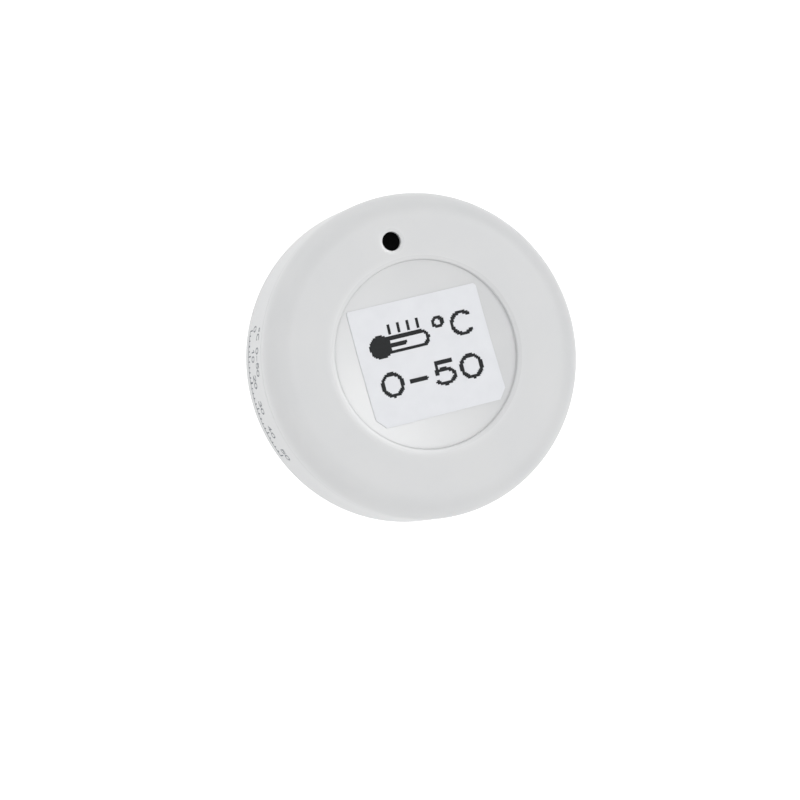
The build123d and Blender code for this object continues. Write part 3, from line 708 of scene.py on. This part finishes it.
def set_sockets(node, sockets):
    """The node with some sockets set; an underscore in a socket's name stands for a space."""
    for name, value in sockets.items():
        node.inputs[name.replace("_", " ")].default_value = value
    return node


def add_node(owner, kind, **sockets):
    """New node in a material's or world's tree, with some sockets set."""
    return set_sockets(owner.node_tree.nodes.new(kind), sockets)


def wire(source, target):
    """Link from an output socket to an input socket of the same tree."""
    source.id_data.links.new(source, target)


def math_node(owner, operation, first, second):
    """Socket with the result of an operation on a socket and a second socket or a number."""
    node = add_node(owner, "ShaderNodeMath")
    node.operation = operation
    wire(first, node.inputs[0])
    if isinstance(second, float):
        node.inputs[1].default_value = second
    else:
        wire(second, node.inputs[1])
    return node.outputs[0]


def plain_finish(name, **sockets):
    """Material with its shader's own sockets set, and that shader."""
    material = bpy.data.materials.new(name)
    material.use_nodes = True
    return material, set_sockets(material.node_tree.nodes["Principled BSDF"], sockets)


def object_place(material, stretch=(1, 1, 1), shift=(0, 0, 0)):
    """Socket with the point on the object, stretched along the axes and then shifted."""
    mapping = add_node(material, "ShaderNodeMapping", Scale=stretch, Location=shift)
    wire(add_node(material, "ShaderNodeTexCoord").outputs["Object"], mapping.inputs["Vector"])
    return mapping.outputs["Vector"]


def distance(material, point):
    """Socket with a point's distance from the origin."""
    length = add_node(material, "ShaderNodeVectorMath")
    length.operation = "LENGTH"
    wire(point, length.inputs[0])
    return length.outputs["Value"]


def noise(material, place, size, detail=3.0):
    """Socket with cloud noise whose patches are about a size in millimetres."""
    node = add_node(material, "ShaderNodeTexNoise", Scale=1 / (size * MM), Detail=detail)
    wire(place, node.inputs["Vector"])
    return node.outputs[0]


def voronoi(material, place, size, **sockets):
    """Voronoi cells about a size in millimetres."""
    node = add_node(material, "ShaderNodeTexVoronoi", Scale=1 / (size * MM), **sockets)
    wire(place, node.inputs["Vector"])
    return node


def ramp(material, value, stops):
    """Socket with a colour for a value: each stop is a position and a colour."""
    node = add_node(material, "ShaderNodeValToRGB")
    wire(value, node.inputs["Fac"])
    elements = node.color_ramp.elements
    while len(elements) < len(stops):
        elements.new(0.5)
    for element, (position, colour) in zip(elements, stops):
        element.position = position
        element.color = (*colour, 1)
    return node.outputs["Color"]


def noise_range(material, value, low, high):
    """Socket with a noise's value spread from low to high."""
    node = add_node(material, "ShaderNodeMapRange", From_Min=CLOUD_LOW, From_Max=CLOUD_HIGH, To_Min=low,
                    To_Max=high)
    wire(value, node.inputs["Value"])
    return node.outputs["Result"]


def relief(material, shader, value, depth):
    """Bump of a depth in millimetres from a value."""
    node = add_node(material, "ShaderNodeBump", Strength=1.0, Distance=depth * MM)
    wire(value, node.inputs["Height"])
    wire(node.outputs["Normal"], shader.inputs["Normal"])


def grained(name, dark, light, patch, grain, depth, rough, stretch=(1, 1, 1), **sockets):
    """Finish with colour patches between two colours, a fine grain in relief, and uneven gloss. The
    patches' and the grain's size and the grain's depth are millimetres; rough is the roughness' range."""
    material, shader = plain_finish(name, **sockets)
    place = object_place(material, stretch)
    clouds = noise(material, place, patch)
    wire(ramp(material, clouds, [(PATCH_DARK, dark), (PATCH_LIGHT, light)]), shader.inputs["Base Color"])
    fine = noise(material, place, grain, detail=2.0)
    wire(noise_range(material, clouds, *rough), shader.inputs["Roughness"])
    relief(material, shader, fine, depth)
    return material


def grey(level, warmth=0.0):
    """Neutral colour of a brightness, a little warmer or, below nought, cooler."""
    return (level * (1 + warmth), level, level * (1 - warmth))


def smooth_share(material, place, flatness, near, far):
    """Socket that is the polish nearer than one distance from a place, and one farther than another. Up
    and down, a distance counts as many times over as the flatness says."""
    shift = -np.array(place) * (1, 1, flatness) * MM
    point = object_place(material, (1, 1, flatness), shift)
    share = add_node(material, "ShaderNodeMapRange", From_Min=near * MM, From_Max=far * MM, To_Min=POLISH,
                     To_Max=1.0)
    wire(distance(material, point), share.inputs["Value"])
    return share.outputs["Result"]


def housing_finish():
    """White moulded plastic with the fine grain of an eroded tool. The pocket and the port's mouth are
    smoother: their roughness is a share of the rest."""
    material = grained("housing_plastic", grey(0.555, -0.012), grey(0.57, -0.008), 7.0, 0.16, 0.004,
                       (0.42, 0.46))
    roughness = material.node_tree.nodes["Principled BSDF"].inputs["Roughness"]
    value = roughness.links[0].from_socket
    for smooth_place in (SMOOTH_POCKET, SMOOTH_PORT):
        value = math_node(material, "MULTIPLY", smooth_share(material, *smooth_place), value)
    wire(value, roughness)
    return material


def paper_finish():
    """Thermal paper: close fibres, faintly blue, in soft clouds."""
    material, shader = plain_finish("label_paper", Specular_IOR_Level=0.3)
    place = object_place(material)
    fibres = noise(material, object_place(material, (1, 4, 1)), 0.25, detail=5.0)
    clouds = noise(material, place, 1.6)
    colour = ramp(material, clouds, [(CLOUD_LOW, (0.655, 0.665, 0.69)), (CLOUD_HIGH, (0.68, 0.69, 0.715))])
    wire(colour, shader.inputs["Base Color"])
    wire(noise_range(material, fibres, 0.5, 0.7), shader.inputs["Roughness"])
    relief(material, shader, fibres, 0.01)
    return material


def ink_finish(name, level):
    """Printed ink, thinner in specks."""
    return grained(name, grey(level * 0.8, -0.08), grey(level * 1.3, -0.08), 0.3, 0.12, 0.003, (0.6, 0.8),
                   Specular_IOR_Level=0.25)


def foam_finish():
    """Open foam: round cells whose walls stand up between them, with painted shade that darkens each cell's
    sunken middle.
    """
    material, shader = plain_finish("pad_foam", Specular_IOR_Level=0.2, Sheen_Weight=0.2)
    place = object_place(material)
    walls = voronoi(material, place, 0.28).outputs["Distance"]
    # painted shade: the colour darkens towards each cell's sunken middle, where the relief is lowest
    wire(ramp(material, walls, [(0.1, grey(0.05)), (0.7, grey(0.16))]), shader.inputs["Base Color"])
    wire(noise_range(material, walls, 0.85, 1.0), shader.inputs["Roughness"])
    relief(material, shader, walls, 0.08)
    return material


def lathe_finish(name, dark, light, rough):
    """Bright metal with fine rings about the axis, from noise that reads the distance from it alone."""
    material, shader = plain_finish(name, Metallic=1.0)
    place = object_place(material, (1, 1, 0))
    rings = add_node(material, "ShaderNodeTexNoise", Scale=1 / (0.12 * MM))
    rings.noise_dimensions = "1D"
    wire(distance(material, place), rings.inputs["W"])
    colour = ramp(material, rings.outputs[0], [(CLOUD_LOW, dark), (CLOUD_HIGH, light)])
    wire(colour, shader.inputs["Base Color"])
    wire(noise_range(material, noise(material, place, 2.5), *rough), shader.inputs["Roughness"])
    relief(material, shader, rings.outputs[0], 0.004)
    return material


def board_finish():
    """Laminate under green lacquer, with copper fields and plated holes. The fields are Voronoi cells
    by the largest of the distances along the axes, so their edges are straight."""
    material, shader = plain_finish("board_laminate", Coat_Weight=0.4, Coat_Roughness=0.15)
    place = object_place(material)
    fields = voronoi(material, place, 1.7)
    fields.distance = "CHEBYCHEV"
    copper = ramp(material, fields.outputs["Color"], [(0.52, grey(0.0)), (0.54, grey(1.0))])
    lacquer = ramp(material, copper, [(0.1, (0.017, 0.095, 0.042)), (0.9, (0.026, 0.13, 0.06))])
    holes = voronoi(material, place, 1.9, Randomness=0.6).outputs["Distance"]
    spots = ramp(material, holes, [(0.1, grey(1.0)), (0.12, grey(0.0))])
    mix = add_node(material, "ShaderNodeMix")
    mix.data_type = "RGBA"
    wire(spots, mix.inputs[0])
    wire(lacquer, mix.inputs[MIX_FIRST])
    mix.inputs[MIX_SECOND].default_value = (0.55, 0.4, 0.16, 1)
    wire(mix.outputs[MIX_RESULT], shader.inputs["Base Color"])
    wire(noise_range(material, noise(material, place, 3.0), 0.3, 0.45), shader.inputs["Roughness"])
    relief(material, shader, copper, 0.02)
    return material


def bead_finish():
    """Thermistor glass: amber, with a clear skin."""
    return grained("bead_glass", (0.28, 0.12, 0.03), (0.4, 0.2, 0.06), 0.3, 0.1, 0.002, (0.05, 0.15),
                   Coat_Weight=1.0, Coat_Roughness=0.05)


def metal(name, dark, light, rough, grain=0.15, stretch=(1, 1, 1)):
    """Metal with a fine drawn or plated grain."""
    return grained(name, dark, light, 1.2, grain, 0.003, rough, stretch, Metallic=1.0)


def node_finishes():
    """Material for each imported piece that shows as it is."""
    black_package = grained("chip_package", grey(0.018), grey(0.03), 0.8, 0.06, 0.006, (0.5, 0.65))
    lead = metal("lead_wire", (0.5, 0.48, 0.45), (0.68, 0.66, 0.62), (0.25, 0.4), 0.1, (1, 1, 0.1))
    spring = metal("contact_metal", (0.62, 0.58, 0.5), (0.78, 0.73, 0.62), (0.2, 0.32), 0.08, (0.15, 1, 1))
    crystal = metal("crystal_metal", grey(0.55), grey(0.72), (0.2, 0.35), 0.05, (1, 0.1, 1))
    tin = metal("chip_tin", grey(0.6), grey(0.8), (0.25, 0.45), 0.06)
    return {
        "thermistor_bead": bead_finish(),
        "thermistor_leads": lead,
        "circuit_board": board_finish(),
        "board_screws": metal("screw_steel", grey(0.42), grey(0.62), (0.25, 0.4)),
        "cell_can": lathe_finish("cell_steel", grey(0.58), grey(0.74), (0.16, 0.3)),
        "cell_gasket": grained("cell_gasket", grey(0.35), grey(0.42), 1.0, 0.1, 0.003, (0.4, 0.5)),
        "cell_lid": lathe_finish("cell_lid", grey(0.5), grey(0.7), (0.2, 0.34)),
        "cell_holder": grained("holder_plastic", grey(0.03), grey(0.045), 2.0, 0.1, 0.005, (0.35, 0.5)),
        "positive_contact": spring,
        "negative_contact": spring,
        "radio_chip": black_package,
        "memory_chip": black_package,
        "main_crystal": crystal,
        "clock_crystal": crystal,
        "chip_antenna": grained("antenna_ceramic", (0.5, 0.54, 0.56), (0.6, 0.64, 0.66), 0.8, 0.08, 0.004,
                                (0.3, 0.45)),
        "power_inductor": grained("inductor_body", grey(0.09), grey(0.14), 0.3, 0.08, 0.01, (0.5, 0.7)),
        "tank_capacitor": grained("capacitor_ceramic", (0.36, 0.25, 0.14), (0.46, 0.33, 0.2), 0.6, 0.06,
                                  0.004, (0.35, 0.5)),
        "wake_switch": black_package,
        "wake_switch_legs": tin,
        "chip_capacitors": grained("chip_capacitor_ceramic", (0.4, 0.28, 0.16), (0.5, 0.37, 0.23), 0.4,
                                   0.06, 0.004, (0.35, 0.5)),
        "chip_resistors": grained("resistor_film", grey(0.02), grey(0.035), 0.3, 0.05, 0.004, (0.3, 0.4)),
        "chip_terminals": tin,
    }


def build_object():
    """Every new piece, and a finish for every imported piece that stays."""
    housing = housing_finish()
    rubber = grained("boot_rubber", grey(0.0015), grey(0.003), 0.6, 0.07, 0.006, (0.6, 0.75),
                     Specular_IOR_Level=0.01)
    seal = grained("seal_rubber", grey(0.02), grey(0.035), 1.5, 0.1, 0.006, (0.4, 0.55))
    shell = front_shell_mould().make("front_housing")
    place_piece(shell, housing, "housing", "front_shell")
    place_piece(rear_cup_mould().make("rear_housing"), housing, "cup", "rear_cup")
    place_piece(seal_mould().make("squeezed_seal"), seal, "seal", "seal_ring")
    place_piece(boot_mould().make("port_boot"), rubber, "housing", "sensor_boot")
    place_piece(label_mould().make("paper_label"), paper_finish(), "housing", "face_label")
    pad = place_piece(pad_mould().make("foam_pad"), foam_finish(), "cup", "pressure_pad")
    place_piece(label_print(), ink_finish("label_ink", 0.0145), "housing", None)
    place_piece(wall_print(), ink_finish("wall_ink", 0.17), "cup", None)
    for name, material in node_finishes().items():
        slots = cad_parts[name].data.materials
        slots.clear()
        slots.append(material)


# Studio

CAMERA_BACK = Vector((-0.30054, 0.02003, 0.95356))
CAMERA_RIGHT = Vector((0.90721, -0.30258, 0.29229))
CAMERA_DISTANCE = 436.7     # from the middle of the face, as the photograph's perspective gives it
AIM_LEFT = 3.0              # the picture's middle lies this far from that of the face
AIM_DOWN = 5.04
LENS, SENSOR_WIDTH = 180, 36
NEAREST, FARTHEST = 0.01, 20        # metres that the camera sees
FLOOR_RADII = (BODY_RADIUS - 0.75, 60.0, 1500.0)
FLOOR_DROP = 0.02           # how far it lies under the cup
FLOOR_PAINT = 0.3
FLOOR_GLOW = 0.95
WHITE = (1, 1, 1, 1)
BACKDROP = 1.0              # what the camera sees round the object
SKY_GLOW = 0.52
HORIZON_GLOW = 0.55         # added to the sky's in a band above and below the horizon
HORIZON_BAND = (0.1, 0.35)  # sines of the heights at which the band starts to fade and ends

# Soft boxes: azimuth and elevation in degrees, tightness and brightness
SOFT_BOXES = [
    (12, 61, 60.0, 8.0),        # key, from the picture's right
    (310, 58, 30.0, 2.4),       # beside it, from the lower right
    (225, 66, 5.0, 0.6),        # fill, from the picture's lower left
    (190, 45, 8.0, 0.4),        # fill, from the picture's left
    (112, 7, 12.0, 1.5),        # low, from the port's side
    (0, -90, 1.0, 1.0),         # from below, for the back alone
]


def set_camera():
    """Long lens that looks down on the face from its left."""
    back = CAMERA_BACK.normalized()
    right = (CAMERA_RIGHT - CAMERA_RIGHT.dot(back) * back).normalized()
    up = back.cross(right)
    camera_data = bpy.data.cameras.new("studio_camera")
    camera_data.lens = LENS
    camera_data.sensor_width = SENSOR_WIDTH
    camera_data.clip_start = NEAREST
    camera_data.clip_end = FARTHEST
    camera = bpy.data.objects.new("studio_camera", camera_data)
    bpy.context.scene.collection.objects.link(camera)
    face = Vector((0, 0, BODY_HEIGHT))
    spot = (face + back * CAMERA_DISTANCE - right * AIM_LEFT - up * AIM_DOWN) * MM
    camera.matrix_world = Matrix.Translation(spot) @ Matrix((right, up, back)).transposed().to_4x4()
    bpy.context.scene.camera = camera


def make_floor():
    """Plain pale floor that glows a little, so that no hard shadow lies on it. It is a ring that stops
    just inside the cup's edge and is clear from below, so that the back can be looked at too."""
    path = np.array([(radius, -FLOOR_DROP) for radius in FLOOR_RADII])
    floor = Mould().add(turned(path)).make("studio_floor")
    material, shader = plain_finish(
        "floor_paint", Roughness=0.9, Specular_IOR_Level=0.0, Base_Color=(*grey(FLOOR_PAINT), 1),
        Emission_Color=WHITE, Emission_Strength=FLOOR_GLOW)
    mix = add_node(material, "ShaderNodeMixShader")
    wire(add_node(material, "ShaderNodeNewGeometry").outputs["Backfacing"], mix.inputs[0])
    wire(shader.outputs[0], mix.inputs[1])
    wire(add_node(material, "ShaderNodeBsdfTransparent").outputs[0], mix.inputs[2])
    wire(mix.outputs[0], material.node_tree.nodes["Material Output"].inputs["Surface"])
    floor.data.materials.append(material)
    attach(floor, "cup")


def soft_box(world, direction, azimuth, elevation, tightness, brightness):
    """Socket with a round glow in the sky: its brightness times the cosine of the angle from its
    middle, raised to its tightness."""
    turn, rise = np.radians(azimuth), np.radians(elevation)
    towards = (np.cos(turn) * np.cos(rise), np.sin(turn) * np.cos(rise), np.sin(rise))
    cosine = add_node(world, "ShaderNodeVectorMath")
    cosine.operation = "DOT_PRODUCT"
    cosine.inputs[1].default_value = towards
    wire(direction, cosine.inputs[0])
    facing = math_node(world, "MAXIMUM", cosine.outputs["Value"], 0.0)
    return math_node(world, "MULTIPLY", math_node(world, "POWER", facing, tightness), brightness)


def light_studio():
    """Even sky, a band of glow round the horizon, and soft boxes, all added up. The camera itself sees
    a plain pale backdrop."""
    world = bpy.data.worlds.new("studio_surround")
    bpy.context.scene.world = world
    world.use_nodes = True
    direction = add_node(world, "ShaderNodeTexCoord").outputs["Generated"]
    split = add_node(world, "ShaderNodeSeparateXYZ")
    wire(direction, split.inputs[0])
    level = math_node(world, "ABSOLUTE", split.outputs["Z"], 0.0)
    start, end = HORIZON_BAND
    horizon = add_node(world, "ShaderNodeMapRange", From_Min=start, From_Max=end,
                       To_Min=SKY_GLOW + HORIZON_GLOW, To_Max=SKY_GLOW)
    wire(level, horizon.inputs["Value"])
    glow = horizon.outputs["Result"]
    for box in SOFT_BOXES:
        glow = math_node(world, "ADD", soft_box(world, direction, *box), glow)
    surround = set_sockets(world.node_tree.nodes["Background"], {"Color": WHITE})
    wire(glow, surround.inputs["Strength"])
    backdrop = add_node(world, "ShaderNodeBackground", Color=WHITE, Strength=BACKDROP)
    mix = add_node(world, "ShaderNodeMixShader")
    wire(add_node(world, "ShaderNodeLightPath").outputs["Is Camera Ray"], mix.inputs[0])
    wire(surround.outputs[0], mix.inputs[1])
    wire(backdrop.outputs[0], mix.inputs[2])
    wire(mix.outputs[0], world.node_tree.nodes["World Output"].inputs["Surface"])
    bpy.context.scene.view_settings.view_transform = "Standard"


build_object()
set_camera()
make_floor()
light_studio()
